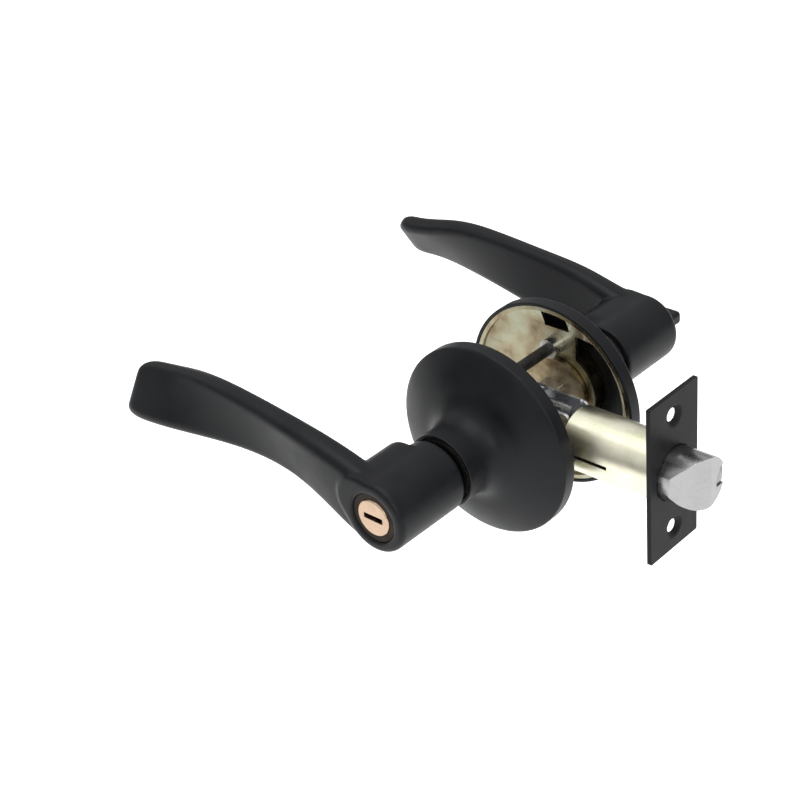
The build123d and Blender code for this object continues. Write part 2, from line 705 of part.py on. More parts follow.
def wafer_places():
    first = PLUG_FRONT - WAFER_PITCH - WAFER_THICK
    return [first - WAFER_PITCH * index for index in range(WAFER_COUNT)]


def key_plug():
    """The plug that the key turns, with a flat keyway and a slot for each wafer."""
    plug = rod_y(PLUG_R, PLUG_REAR, PLUG_FRONT + PLUG_PROUD)
    plug = chamfer(plug.edges().group_by(Axis.Y)[-1], 0.35)
    plug += rod_y(TAIL_R, PLUG_REAR - TAIL_LENGTH, PLUG_REAR + 1)
    half_width = KEYWAY_WIDTH / 2
    half = KEYWAY_HEIGHT / 2
    plug -= slab((-half_width, half_width), (PLUG_FRONT - KEYWAY_DEPTH, PLUG_FRONT + 5), (-half, half))
    plug -= [wafer(place, FIT) for place in wafer_places()]
    return outside(plug - tail_slot(FIT))


def wafer(place, clearance):
    """A wafer's blank at one place along the plug."""
    half = WAFER_THICK / 2 + clearance
    reach = WAFER_LENGTH / 2 + clearance
    rise = WAFER_HEIGHT / 2 + clearance
    return slab((-reach, reach), (place - half, place + half), (-rise, rise))


def cylinder_wafers():
    """Flat wafers that ride in the plug, each with a window that the key would pass through."""
    half = KEYWAY_HEIGHT / 2
    window = slab((-KEYWAY_WIDTH / 2 + 0.6, KEYWAY_WIDTH / 2 - 0.2), (0, PLUG_FRONT), (-half, half))
    return [outside(wafer(place, 0) - window) for place in wafer_places()]


def tail_slot(clearance):
    """The slot across the plug's tail that holds the tailpiece."""
    half = TAILPIECE_THICK / 2 + clearance
    reach = TAILPIECE_WIDTH / 2 + clearance
    return slab((-reach, reach), (PLUG_REAR - TAIL_LENGTH - 1, PLUG_REAR - 0.5), (-half, half))


def cylinder_clip():
    """The open clip on the plug's tail that keeps the plug in its housing."""
    end = PLUG_REAR - GAP / 2
    ring = ring_y(CYLINDER_REAR_R - 0.8, TAIL_R + FIT, end - CLIP_THICK, end)
    return outside(ring - slab((-2.0, 2.0), (0, 99), (0, 20)))


def cylinder_tailpiece():
    """The flat blade that turns the lock coupler when the key is turned."""
    half_width = TAILPIECE_WIDTH / 2
    half = TAILPIECE_THICK / 2
    end = COUPLER_START + COUPLER_LENGTH - COUPLER_RECESS + 0.8
    return outside(slab((-half_width, half_width), (end, PLUG_REAR - 0.6), (-half, half)))


def lock_coupler():
    """The drum on the locking bar's end, with a round recess that gives the tailpiece lost motion."""
    end = COUPLER_START + COUPLER_LENGTH
    drum = rod_y(COUPLER_R, COUPLER_START, end)
    drum -= rod_y(TAILPIECE_WIDTH / 2 + 0.4, end - COUPLER_RECESS, end + 1)
    half_width = BAR_WIDTH / 2 + FIT
    half = BAR_THICK / 2 + FIT
    return outside(drum - slab((-half_width, half_width), (0, end - COUPLER_RECESS - 0.8), (-half, half)))


def locking_bar():
    """The flat bar through the spindle, from the turn button to the lock coupler."""
    half_width = BAR_WIDTH / 2
    half = BAR_THICK / 2
    start = -(COUPLER_START + COUPLER_LENGTH - COUPLER_RECESS - 0.9)
    return slab((-half_width, half_width), (start, BUTTON_STEM_START + BUTTON_BAR_SEAT), (-half, half))


def turn_button():
    """The small blade that locks the outside lever, on a round collar and a stem."""
    end = INSIDE_PROJECTION + BUTTON_PROUD
    half_length = BUTTON_BLADE_LENGTH / 2
    half = BUTTON_BLADE_THICK / 2
    blade = slab((-half_length, half_length), (INSIDE_PROJECTION - 1, end), (-half, half))
    blade = fillet(blade.edges().filter_by(Axis.Y), BUTTON_CORNER_R)
    blade = fillet(blade.edges().group_by(Axis.Y)[-1], BUTTON_TOP_R)
    collar = rod_y(BUTTON_COLLAR_R, SLEEVE_END + BUTTON_GUIDE_LENGTH, INSIDE_PROJECTION - 0.6)
    stem = rod_y(BUTTON_STEM_R, BUTTON_STEM_START, SLEEVE_END + BUTTON_GUIDE_LENGTH + 1)
    slot_width = BAR_WIDTH / 2 + FIT
    slot_thick = BAR_THICK / 2 + FIT
    slot_end = BUTTON_STEM_START + BUTTON_BAR_SEAT + FIT
    slot = slab((-slot_width, slot_width), (0, slot_end), (-slot_thick, slot_thick))
    blade &= rod_y(BUTTON_COLLAR_R, 0, 200)
    groove_end = BUTTON_CLIP + CLIP_THICK + FIT
    groove = ring_y(BUTTON_STEM_R + 1, BUTTON_STEM_R - 0.5, BUTTON_CLIP - FIT, groove_end)
    return blade + collar + stem - slot - groove


def button_guide():
    """The disc pressed into the sleeve's end that the button's stem turns in."""
    start = SLEEVE_END - BUTTON_GUIDE_LENGTH
    return ring_y(SLEEVE_BORE_R - FIT, BUTTON_STEM_R + RUN, start, SLEEVE_END)


def button_clip():
    """The open clip that keeps the turn button in its guide."""
    ring = ring_y(BUTTON_STEM_R + 2.0, BUTTON_STEM_R - 0.45, BUTTON_CLIP, BUTTON_CLIP + CLIP_THICK)
    return ring - slab((-1.6, 1.6), (0, 99), (0, 20))


PIECES = {
    "faceplate": faceplate,
    "latch_tube": latch_tube,
    "latch_front_bushing": latch_front_bushing,
    "spring_stop": spring_stop,
    "latch_case_plates": lambda: [case_plate(), outside(case_plate())],
    "latch_case_rivets": case_rivets,
    "latch_bolt": latch_bolt,
    "deadlatch_plunger": deadlatch_plunger,
    "plunger_spring": plunger_spring,
    "bolt_spring": bolt_spring,
    "bolt_drawbar": bolt_drawbar,
    "drawbar_pins": drawbar_pins,
    "latch_cam": latch_cam,
    "spindle": spindle,
    "mounting_posts": mounting_posts,
    "mounting_screws": mounting_screws,
    "screw_collars": screw_collars,
    "outside_lever": outside_lever,
    "cylinder_body": cylinder_body,
    "key_plug": key_plug,
    "cylinder_wafers": cylinder_wafers,
    "cylinder_clip": cylinder_clip,
    "cylinder_tailpiece": cylinder_tailpiece,
    "lock_coupler": lock_coupler,
    "locking_bar": locking_bar,
    "inside_lever": inside_lever,
    "turn_button": turn_button,
    "button_guide": button_guide,
    "button_clip": button_clip,
}

# Both sides of the door have these pieces.
PAIRED = {
    "rose": rose,
    "mounting_plate": mounting_plate,
    "bushing": bushing,
    "spring_housing": spring_housing,
    "return_spring": return_spring,
    "drive_sleeve": drive_sleeve,
    "circlip": circlip,
    "gap_washer": gap_washer,
    "lever_catch": lever_catch,
    "catch_spring": catch_spring,
}


def as_shape(piece):
    return Compound(children=list(piece)) if isinstance(piece, (list, tuple)) else piece


os.makedirs("parts", exist_ok=True)
for name, make in PIECES.items():
    export_step(as_shape(make()), f"parts/{name}.step")
for name, make in PAIRED.items():
    piece = as_shape(make())
    export_step(piece, f"parts/inside_{name}.step")
    export_step(outside(piece), f"parts/outside_{name}.step")
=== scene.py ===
"""Looks for a keyed lever lockset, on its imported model: softened pieces, finishes and a studio.

Everything is in metres. The origin is on the spindle axis midway between the roses, +X runs to the
latch faceplate, +Y to the inside lever and +Z is up.
"""

import json
import math

import bpy
from mathutils import Matrix, Vector

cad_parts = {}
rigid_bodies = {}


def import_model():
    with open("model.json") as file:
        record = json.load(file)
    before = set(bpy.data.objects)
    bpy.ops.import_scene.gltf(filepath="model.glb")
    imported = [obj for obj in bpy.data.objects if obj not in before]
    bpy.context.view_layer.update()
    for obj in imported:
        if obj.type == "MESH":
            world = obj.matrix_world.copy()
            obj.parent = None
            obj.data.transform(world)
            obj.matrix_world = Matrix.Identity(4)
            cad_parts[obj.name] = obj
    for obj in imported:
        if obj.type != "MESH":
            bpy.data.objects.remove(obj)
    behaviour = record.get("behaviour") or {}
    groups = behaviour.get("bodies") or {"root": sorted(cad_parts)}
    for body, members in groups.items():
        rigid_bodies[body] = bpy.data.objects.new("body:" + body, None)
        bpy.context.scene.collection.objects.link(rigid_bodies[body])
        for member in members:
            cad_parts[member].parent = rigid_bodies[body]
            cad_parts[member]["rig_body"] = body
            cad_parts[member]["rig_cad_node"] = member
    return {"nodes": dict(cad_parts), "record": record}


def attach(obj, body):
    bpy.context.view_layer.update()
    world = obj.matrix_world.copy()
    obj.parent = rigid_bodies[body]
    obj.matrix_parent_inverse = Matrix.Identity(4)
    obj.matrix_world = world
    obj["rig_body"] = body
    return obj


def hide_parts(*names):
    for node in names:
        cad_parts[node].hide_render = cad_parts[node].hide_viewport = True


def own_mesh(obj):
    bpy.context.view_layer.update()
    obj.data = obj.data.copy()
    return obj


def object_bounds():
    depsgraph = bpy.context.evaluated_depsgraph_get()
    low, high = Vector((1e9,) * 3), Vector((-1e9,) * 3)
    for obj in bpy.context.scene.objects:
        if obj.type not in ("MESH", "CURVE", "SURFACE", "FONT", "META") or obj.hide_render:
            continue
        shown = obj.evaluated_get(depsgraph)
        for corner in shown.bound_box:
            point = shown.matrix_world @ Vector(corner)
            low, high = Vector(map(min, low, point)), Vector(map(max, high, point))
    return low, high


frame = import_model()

bl_info = {
    "name": "Lever Lockset",
    "version": (1, 0, 0),
    "blender": (4, 5, 0),
    "location": "3D View > Sidebar > Lockset",
    "description": "Models and finishes the pieces of a keyed lever lockset on its fixed frame",
    "category": "Object",
}

CAD_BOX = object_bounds()
BODIES = frame["record"]["behaviour"]["bodies"]
BODY_OF_NODE = {node: body for body, nodes in BODIES.items() for node in nodes}
SIDES = ("outside", "inside")
MM = 0.001

MERGE_DISTANCE = 0.001 * MM
FLAT_ANGLE = math.radians(0.4)
SHARP_ANGLE = math.radians(32)
SHADING_ANGLE = math.radians(30.0)

WHITE = (1.0, 1.0, 1.0, 1.0)
DUST_COLOUR = (0.55, 0.54, 0.52)


# User-changeable sizes and colours --------------------------------------------------------------


def size_property(label, text, default):
    """A length that the sidebar shows in scene units."""
    return bpy.props.FloatProperty(
        name=label,
        description=text,
        default=default,
        min=0.0,
        precision=5,
        unit="LENGTH",
        subtype="DISTANCE",
    )


def colour_property(label, text, default):
    """A plain colour swatch."""
    return bpy.props.FloatVectorProperty(
        name=label, description=text, default=default, size=3, min=0.0, max=1.0, subtype="COLOR"
    )


class LocksetSizes(bpy.types.PropertyGroup):
    """Sizes of the modelled detail, none of which change the lockset's own dimensions."""

    casting_step: size_property("Casting step", "Spacing of the faces on the cast levers", 0.00045)
    sheet_edge: size_property("Sheet edge", "Rounding on the edges of stamped and spun sheet", 0.0003)
    turned_edge: size_property("Turned edge", "Rounding on the edges of turned pieces", 0.0002)
    bolt_edge: size_property("Bolt edge", "Rounding on the latch bolt's tumbled edges", 0.00045)


class LocksetColours(bpy.types.PropertyGroup):
    """Colours of the metal finishes."""

    black_coat: colour_property(
        "Black coat", "Satin coating on levers, roses and turn button", (0.0060, 0.0066, 0.0078)
    )
    plate_coat: colour_property(
        "Plate coat", "Satin coating on the latch faceplate", (0.009, 0.0093, 0.0100)
    )
    yellow_plating: colour_property(
        "Yellow plating", "Chromated zinc on the tube and plates", (0.69, 0.68, 0.53)
    )
    clear_plating: colour_property(
        "Clear plating", "Clear zinc on pins, plates and collars", (0.74, 0.75, 0.77)
    )
    bright_plating: colour_property(
        "Bright plating", "Satin plating on the latch bolt", (0.33, 0.33, 0.335)
    )
    plug_brass: colour_property(
        "Plug brass", "Pale turned face of the key plug", (0.48, 0.35, 0.25)
    )
    ring_bronze: colour_property(
        "Ring bronze", "Cylinder housing round the plug", (0.016, 0.0105, 0.007)
    )


class LocksetStudio(bpy.types.PropertyGroup):
    """The stage that the lockset stands on."""

    floor_colour: colour_property("Floor", "Pale studio floor", (0.93, 0.93, 0.93))
    room_strength: bpy.props.FloatProperty(
        name="Room light", description="Strength of the room's soft light", default=1.0, min=0.0
    )
    floor_glow: bpy.props.FloatProperty(
        name="Floor glow", description="Light that comes up through the floor", default=0.5, min=0.0
    )
    floor_room: size_property(
        "Room under levers", "Between the floor and a lever that points down", 0.02
    )
    camera_distance: size_property("Camera distance", "From the camera to the point it looks at", 0.6)


# Helpers ----------------------------------------------------------------------------------------


def choose_only(piece):
    """Leaves one piece selected and active."""
    bpy.ops.object.select_all(action="DESELECT")
    piece.select_set(True)
    bpy.context.view_layer.objects.active = piece


def merged_copy(node, name):
    """A free copy of a frame node, with its loose triangles merged and its flat faces joined."""
    piece = frame["nodes"][node].copy()
    piece.data = piece.data.copy()
    piece.name = name
    piece.data.name = name
    piece.parent = None
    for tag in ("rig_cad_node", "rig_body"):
        del piece[tag]
    bpy.context.scene.collection.objects.link(piece)
    choose_only(piece)
    bpy.ops.object.mode_set(mode="EDIT")
    bpy.ops.mesh.select_all(action="SELECT")
    bpy.ops.mesh.remove_doubles(threshold=MERGE_DISTANCE)
    bpy.ops.mesh.customdata_custom_splitnormals_clear()
    bpy.ops.mesh.dissolve_limited(angle_limit=FLAT_ANGLE)
    bpy.ops.object.mode_set(mode="OBJECT")
    return piece


def apply_modifier(piece, kind, **settings):
    """Adds a modifier with its settings and applies it."""
    choose_only(piece)
    modifier = piece.modifiers.new(kind.title(), kind)
    for setting, value in settings.items():
        setattr(modifier, setting, value)
    bpy.ops.object.modifier_apply(modifier=modifier.name)


def round_edges(piece, width, segments=3):
    """Rounds every edge that turns by more than the sharp angle."""
    apply_modifier(
        piece,
        "BEVEL",
        width=width,
        segments=segments,
        limit_method="ANGLE",
        angle_limit=SHARP_ANGLE,
        use_clamp_overlap=True,
        harden_normals=False,
        miter_outer="MITER_ARC",
    )


def settle(piece, node, material, creased=True):
    """Shades a finished piece, puts it on its node's body and gives it its finish."""
    choose_only(piece)
    if creased:
        bpy.ops.object.shade_smooth_by_angle(angle=SHADING_ANGLE)
        apply_modifier(piece, "WEIGHTED_NORMAL", weight=100, keep_sharp=True)
    else:
        bpy.ops.object.shade_smooth()
    piece.data.materials.clear()
    piece.data.materials.append(finish(material))
    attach(piece, BODY_OF_NODE[node])
    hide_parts(node)


def softened(node, name, width, material, segments=3):
    """A stand-in for a frame node with rounded edges."""
    piece = merged_copy(node, name)
    round_edges(piece, width, segments)
    settle(piece, node, material)
    return piece


# Finishes ---------------------------------------------------------------------------------------


def new_effect(name, inputs, outputs):
    """An empty node group with named sockets, and its two ends."""
    group = bpy.data.node_groups.new(name, "ShaderNodeTree")
    for label, kind, default in inputs:
        socket = group.interface.new_socket(label, in_out="INPUT", socket_type=kind)
        if default is not None:
            socket.default_value = default
    for label, kind in outputs:
        group.interface.new_socket(label, in_out="OUTPUT", socket_type=kind)
    return group, group.nodes.new("NodeGroupInput"), group.nodes.new("NodeGroupOutput")


def add(tree, kind, **settings):
    """A node with its settings."""
    node = tree.nodes.new(kind)
    for setting, value in settings.items():
        setattr(node, setting, value)
    return node


def maths(tree, operation, first, second, clamp=False):
    """A Math node fed by sockets or numbers."""
    node = add(tree, "ShaderNodeMath", operation=operation, use_clamp=clamp)
    for index, value in enumerate((first, second)):
        if isinstance(value, (int, float)):
            node.inputs[index].default_value = value
        else:
            tree.links.new(value, node.inputs[index])
    return node.outputs[0]


def spread(tree, value, low_in, high_in, low_out, high_out):
    """A clamped Map Range of one socket."""
    node = add(tree, "ShaderNodeMapRange", clamp=True)
    tree.links.new(value, node.inputs["Value"])
    node.inputs["From Min"].default_value = low_in
    node.inputs["From Max"].default_value = high_in
    node.inputs["To Min"].default_value = low_out
    node.inputs["To Max"].default_value = high_out
    return node.outputs["Result"]


def noise_of(tree, place, scale, detail, roughness=None):
    """A Noise Texture's value, at a scale that is a number or a socket."""
    noise = add(tree, "ShaderNodeTexNoise")
    noise.inputs["Detail"].default_value = detail
    if roughness is not None:
        noise.inputs["Roughness"].default_value = roughness
    tree.links.new(place, noise.inputs["Vector"])
    if isinstance(scale, float):
        noise.inputs["Scale"].default_value = scale
    else:
        tree.links.new(scale, noise.inputs["Scale"])
    return noise.outputs["Fac"]


def make_fine_grain():
    """Even grain in the skin of a coating, and the slow patches that go with it."""
    group, start, end = new_effect(
        "Fine Grain",
        (
            ("Place", "NodeSocketVector", None),
            ("Grain Size", "NodeSocketFloat", 0.0003),
            ("Patch Size", "NodeSocketFloat", 0.012),
        ),
        (("Height", "NodeSocketFloat"), ("Patches", "NodeSocketFloat")),
    )
    for size, detail, output in (("Grain Size", 2.0, "Height"), ("Patch Size", 5.0, "Patches")):
        scale = maths(group, "DIVIDE", 1.0, start.outputs[size])
        group.links.new(noise_of(group, start.outputs["Place"], scale, detail), end.inputs[output])
    return group


def make_drawn_lines():
    """Fine lines left by drawing, brushing or turning, stretched along one direction."""
    streaks_per_line = 0.12
    group, start, end = new_effect(
        "Drawn Lines",
        (
            ("Place", "NodeSocketVector", None),
            ("Stretch", "NodeSocketVector", (1.0, 1.0, 0.03)),
            ("Line Size", "NodeSocketFloat", 0.0002),
        ),
        (("Height", "NodeSocketFloat"), ("Streaks", "NodeSocketFloat")),
    )
    squeeze = add(group, "ShaderNodeVectorMath", operation="MULTIPLY")
    group.links.new(start.outputs["Place"], squeeze.inputs[0])
    group.links.new(start.outputs["Stretch"], squeeze.inputs[1])
    line_scale = maths(group, "DIVIDE", 1.0, start.outputs["Line Size"])
    streak_scale = maths(group, "MULTIPLY", line_scale, streaks_per_line)
    for scale, output in ((line_scale, "Height"), (streak_scale, "Streaks")):
        lines = noise_of(group, squeeze.outputs[0], scale, detail=3.0)
        group.links.new(lines, end.inputs[output])
    return group


def make_edge_rub():
    """Where hands and assembly polish the edges: strongest on sharp edges, broken up by patches."""
    group, start, end = new_effect(
        "Edge Rub",
        (
            ("Place", "NodeSocketVector", None),
            ("Reach", "NodeSocketFloat", 0.0004),
            ("Amount", "NodeSocketFloat", 0.5),
        ),
        (("Mask", "NodeSocketFloat"),),
    )
    dull_turn, bright_turn = 0.02, 0.22
    edge = add(group, "ShaderNodeBevel", samples=4)
    group.links.new(start.outputs["Reach"], edge.inputs["Radius"])
    surface = add(group, "ShaderNodeNewGeometry")
    agree = add(group, "ShaderNodeVectorMath", operation="DOT_PRODUCT")
    group.links.new(edge.outputs["Normal"], agree.inputs[0])
    group.links.new(surface.outputs["Normal"], agree.inputs[1])
    turn = maths(group, "SUBTRACT", 1.0, agree.outputs["Value"])
    turned = spread(group, turn, dull_turn, bright_turn, 0.0, 1.0)
    scuffs = noise_of(group, start.outputs["Place"], 420.0, detail=6.0)
    broken = spread(group, scuffs, 0.42, 0.62, 0.0, 1.0)
    rubbed = maths(group, "MULTIPLY", turned, broken)
    mask = maths(group, "MULTIPLY", rubbed, start.outputs["Amount"], clamp=True)
    group.links.new(mask, end.inputs["Mask"])
    return group


def make_settled_dust():
    """A trace of dust on what faces up."""
    group, start, end = new_effect(
        "Settled Dust",
        (("Place", "NodeSocketVector", None), ("Amount", "NodeSocketFloat", 0.1)),
        (("Mask", "NodeSocketFloat"),),
    )
    surface = add(group, "ShaderNodeNewGeometry")
    parts = add(group, "ShaderNodeSeparateXYZ")
    group.links.new(surface.outputs["Normal"], parts.inputs[0])
    steepest = 0.35
    upward = spread(group, parts.outputs["Z"], steepest, 1.0, 0.0, 1.0)
    motes = noise_of(group, start.outputs["Place"], 1500.0, detail=8.0, roughness=0.7)
    specks = spread(group, motes, 0.5, 0.75, 0.0, 1.0)
    settled = maths(group, "MULTIPLY", upward, specks)
    mask = maths(group, "MULTIPLY", settled, start.outputs["Amount"], clamp=True)
    group.links.new(mask, end.inputs["Mask"])
    return group


EFFECTS = {
    "Fine Grain": make_fine_grain,
    "Drawn Lines": make_drawn_lines,
    "Edge Rub": make_edge_rub,
    "Settled Dust": make_settled_dust,
}


def effect(tree, name, place, **values):
    """One of the shared effects, placed in a material with its own values."""
    group = bpy.data.node_groups.get(name) or EFFECTS[name]()
    node = add(tree, "ShaderNodeGroup", node_tree=group)
    tree.links.new(place, node.inputs["Place"])
    for label, value in values.items():
        node.inputs[label.replace("_", " ").title()].default_value = value
    return node


def blend_colour(tree, amount, first, second):
    """Mixes two colours, each a socket or a plain colour."""
    node = add(tree, "ShaderNodeMix", data_type="RGBA")
    tree.links.new(amount, node.inputs["Factor"])
    for label, value in (("A", first), ("B", second)):
        socket = next(s for s in node.inputs if s.name == label and s.type == "RGBA")
        if isinstance(value, tuple):
            socket.default_value = (*value, 1.0)
        else:
            tree.links.new(value, socket)
    return next(s for s in node.outputs if s.type == "RGBA")


def chosen_colour(name):
    """One of the sidebar's colours."""
    return tuple(getattr(bpy.context.scene.lockset_colours, name))


def shade_of(colour, factor):
    """A colour made lighter or darker."""
    return tuple(min(1.0, max(0.0, part * factor)) for part in colour)


def towards(colour, other, share):
    """A colour moved part of the way to another."""
    return tuple(a + (b - a) * share for a, b in zip(colour, other))


def metal(
    name,
    tones,
    roughness,
    metallic=1.0,
    grain=0.0003,
    patch=0.012,
    grain_height=0.02,
    stretch=(1.0, 1.0, 0.03),
    lines=0.0002,
    line_height=0.0,
    streak_share=0.0,
    rub=0.0,
    rub_reach=0.0004,
    rub_colour=(0.3, 0.3, 0.3),
    dust=0.0,
    specular=0.5,
):
    """A plated, coated or bare metal finish from its tones, grain, lines, rubbed edges and dust."""
    first_tone, tone_span = 0.36, 0.28
    rub_polish, dust_dulling = 0.12, 0.4
    material = bpy.data.materials.new(name)
    material.use_nodes = True
    tree = material.node_tree
    shader = tree.nodes["Principled BSDF"]
    place = add(tree, "ShaderNodeTexCoord").outputs["Object"]
    grain_node = effect(tree, "Fine Grain", place, grain_size=grain, patch_size=patch)
    clouds = grain_node.outputs["Patches"]
    height = maths(tree, "MULTIPLY", grain_node.outputs["Height"], grain_height)
    if streak_share:
        line_node = effect(tree, "Drawn Lines", place, stretch=stretch, line_size=lines)
        streaky = maths(tree, "MULTIPLY", line_node.outputs["Streaks"], streak_share)
        clouds = maths(tree, "ADD", maths(tree, "MULTIPLY", clouds, 1.0 - streak_share), streaky)
        ridges = maths(tree, "MULTIPLY", line_node.outputs["Height"], line_height)
        height = maths(tree, "ADD", height, ridges)
    ramp = add(tree, "ShaderNodeValToRGB")
    tree.links.new(clouds, ramp.inputs["Fac"])
    stops = ramp.color_ramp.elements
    while len(stops) < len(tones):
        stops.new(0.5)
    for index, tone in enumerate(tones):
        stops[index].position = first_tone + tone_span * index / (len(tones) - 1)
        stops[index].color = (*tone, 1.0)
    colour = ramp.outputs["Color"]
    rough = spread(tree, clouds, 0.35, 0.65, roughness[0], roughness[1])
    if rub:
        rubbed = effect(tree, "Edge Rub", place, reach=rub_reach, amount=rub).outputs["Mask"]
        colour = blend_colour(tree, rubbed, colour, rub_colour)
        rough = maths(tree, "SUBTRACT", rough, maths(tree, "MULTIPLY", rubbed, rub_polish))
    if dust:
        dusty = effect(tree, "Settled Dust", place, amount=dust).outputs["Mask"]
        colour = blend_colour(tree, dusty, colour, DUST_COLOUR)
        dulled = maths(tree, "MULTIPLY", dusty, dust_dulling)
        rough = maths(tree, "ADD", rough, dulled, clamp=True)
    bump = add(tree, "ShaderNodeBump")
    bump.inputs["Strength"].default_value = 1.0
    bump.inputs["Distance"].default_value = MM
    tree.links.new(height, bump.inputs["Height"])
    tree.links.new(colour, shader.inputs["Base Color"])
    tree.links.new(rough, shader.inputs["Roughness"])
    tree.links.new(bump.outputs["Normal"], shader.inputs["Normal"])
    shader.inputs["Metallic"].default_value = metallic
    shader.inputs["Specular IOR Level"].default_value = specular
    return material


def make_black_coat():
    """Satin black electro-coat with a faint orange peel, rubbed a little on its edges."""
    base = chosen_colour("black_coat")
    return metal(
        "satin_black_coat",
        (shade_of(base, 0.85), base, shade_of(base, 1.2)),
        (0.34, 0.44),
        metallic=0.0,
        grain=0.00035,
        grain_height=0.018,
        rub=0.25,
        rub_colour=(0.02, 0.02, 0.021),
        dust=0.008,
        specular=0.16,
    )


def make_plate_coat():
    """The faceplate's satin coat, over steel brushed along its length."""
    base = chosen_colour("plate_coat")
    return metal(
        "brushed_plate_coat",
        (shade_of(base, 0.8), base, shade_of(base, 1.25)),
        (0.36, 0.48),
        metallic=0.0,
        grain=0.0002,
        grain_height=0.008,
        lines=0.00025,
        line_height=0.02,
        streak_share=0.5,
        rub=0.45,
        rub_colour=(0.045, 0.045, 0.046),
        specular=0.09,
    )


def make_yellow_plating():
    """Yellow chromate over zinc, with its drifting green and pink and lines from the tube mill."""
    base = chosen_colour("yellow_plating")
    return metal(
        "yellow_chromated_zinc",
        (
            towards(base, (0.70, 0.74, 0.50), 0.5),
            base,
            towards(base, (0.92, 0.88, 0.72), 0.5),
            towards(base, (0.85, 0.68, 0.55), 0.25),
        ),
        (0.26, 0.38),
        grain=0.0006,
        patch=0.009,
        grain_height=0.012,
        stretch=(0.03, 1.0, 1.0),
        lines=0.0005,
        line_height=0.02,
        streak_share=0.45,
        rub=0.3,
        rub_colour=(0.82, 0.8, 0.72),
    )


def make_dished_plating():
    """The same plating on pressed sheet, its tones darkened and browned as painted shade for the inside
    of the roses.
    """
    base = chosen_colour("yellow_plating")
    # Painted shade: every tone below is the plating browned and darkened to a third to a half, for the
    # shade inside the roses.
    return metal(
        "chromated_pressing_painted_shade",
        (
            shade_of(towards(base, (0.40, 0.24, 0.10), 0.7), 0.3),
            shade_of(towards(base, (0.60, 0.44, 0.22), 0.6), 0.42),
            shade_of(towards(base, (0.62, 0.60, 0.36), 0.4), 0.5),
            shade_of(base, 0.55),
        ),
        (0.24, 0.38),
        grain=0.0008,
        patch=0.011,
        grain_height=0.02,
        stretch=(1.0, 0.3, 0.3),
        lines=0.0006,
        line_height=0.01,
        streak_share=0.25,
        rub=0.4,
        rub_colour=(0.74, 0.7, 0.56),
    )


def make_brown_plating_painted_shade():
    """Brown chromate on the turned pieces deep inside the roses, its tones darkened as painted shade."""
    # Painted shade: these dark brown tones stand for the shade on the drive sleeves and spring housings
    # inside the roses.
    return metal(
        "brown_plating_painted_shade",
        ((0.09, 0.062, 0.034), (0.17, 0.125, 0.07), (0.26, 0.21, 0.13), (0.36, 0.30, 0.20)),
        (0.26, 0.4),
        grain=0.0005,
        patch=0.005,
        grain_height=0.015,
        stretch=(0.3, 1.0, 0.3),
        lines=0.0003,
        line_height=0.012,
        streak_share=0.3,
        rub=0.4,
        rub_colour=(0.5, 0.44, 0.32),
    )


def make_clear_plating():
    """Clear zinc, cool and a little cloudy, with turning lines."""
    base = chosen_colour("clear_plating")
    return metal(
        "clear_zinc_plate",
        (shade_of(base, 0.82), base, towards(base, (0.68, 0.74, 0.84), 0.4)),
        (0.2, 0.36),
        grain=0.0005,
        patch=0.006,
        grain_height=0.015,
        stretch=(0.05, 1.0, 0.05),
        lines=0.00018,
        line_height=0.014,
        streak_share=0.3,
        rub=0.35,
        rub_colour=(0.86, 0.86, 0.87),
    )


def make_bright_plating():
    """Bright plating over a tumbled casting, faintly wavy, with hairline scuffs along its travel."""
    base = chosen_colour("bright_plating")
    return metal(
        "bright_bolt_plating",
        (shade_of(base, 0.93), base, shade_of(base, 1.05)),
        (0.22, 0.34),
        grain=0.0014,
        patch=0.005,
        grain_height=0.025,
        stretch=(0.04, 1.0, 1.0),
        lines=0.00012,
        line_height=0.004,
        streak_share=0.4,
        rub=0.2,
        rub_colour=(0.5, 0.5, 0.5),
    )


def make_plug_brass():
    """Pale nickel-washed brass with a faced-off end."""
    base = chosen_colour("plug_brass")
    return metal(
        "pale_plug_brass",
        (shade_of(base, 0.88), base, shade_of(base, 1.05)),
        (0.22, 0.32),
        grain=0.0004,
        patch=0.004,
        grain_height=0.01,
        stretch=(0.06, 1.0, 1.0),
        lines=0.00015,
        line_height=0.01,
        streak_share=0.4,
        rub=0.35,
        rub_colour=(0.62, 0.5, 0.33),
    )


def make_ring_bronze():
    """Dark oiled bronze, browner where it is rubbed."""
    base = chosen_colour("ring_bronze")
    return metal(
        "dark_ring_bronze",
        (shade_of(base, 0.6), base, shade_of(base, 1.5)),
        (0.3, 0.45),
        grain=0.0003,
        patch=0.004,
        grain_height=0.015,
        rub=0.6,
        rub_colour=(0.20, 0.12, 0.07),
    )


def make_spring_steel():
    """Bright drawn wire and strip."""
    return metal(
        "drawn_spring_steel",
        ((0.34, 0.34, 0.35), (0.46, 0.46, 0.47), (0.52, 0.53, 0.55)),
        (0.22, 0.34),
        grain=0.0003,
        patch=0.004,
        grain_height=0.008,
        stretch=(0.2, 1.0, 0.2),
        lines=0.0001,
        line_height=0.006,
        streak_share=0.3,
    )


def make_sintered_steel():
    """Pressed and sintered steel, finely pitted and dark with oil."""
    return metal(
        "oiled_sintered_steel",
        ((0.2, 0.195, 0.19), (0.34, 0.335, 0.33), (0.42, 0.415, 0.41)),
        (0.34, 0.5),
        grain=0.00022,
        patch=0.003,
        grain_height=0.05,
        rub=0.4,
        rub_colour=(0.6, 0.6, 0.6),
    )


def make_black_oxide_painted_shade():
    """Black-oxided steel, matt and a little brown, put on the mounting posts and screws as painted shade
    for the dark inside of the roses.
    """
    return metal(
        "black_oxide_painted_shade",
        ((0.010, 0.009, 0.008), (0.016, 0.0145, 0.013), (0.024, 0.021, 0.018)),
        (0.36, 0.5),
        metallic=0.0,
        grain=0.0003,
        patch=0.003,
        grain_height=0.01,
        specular=0.25,
    )


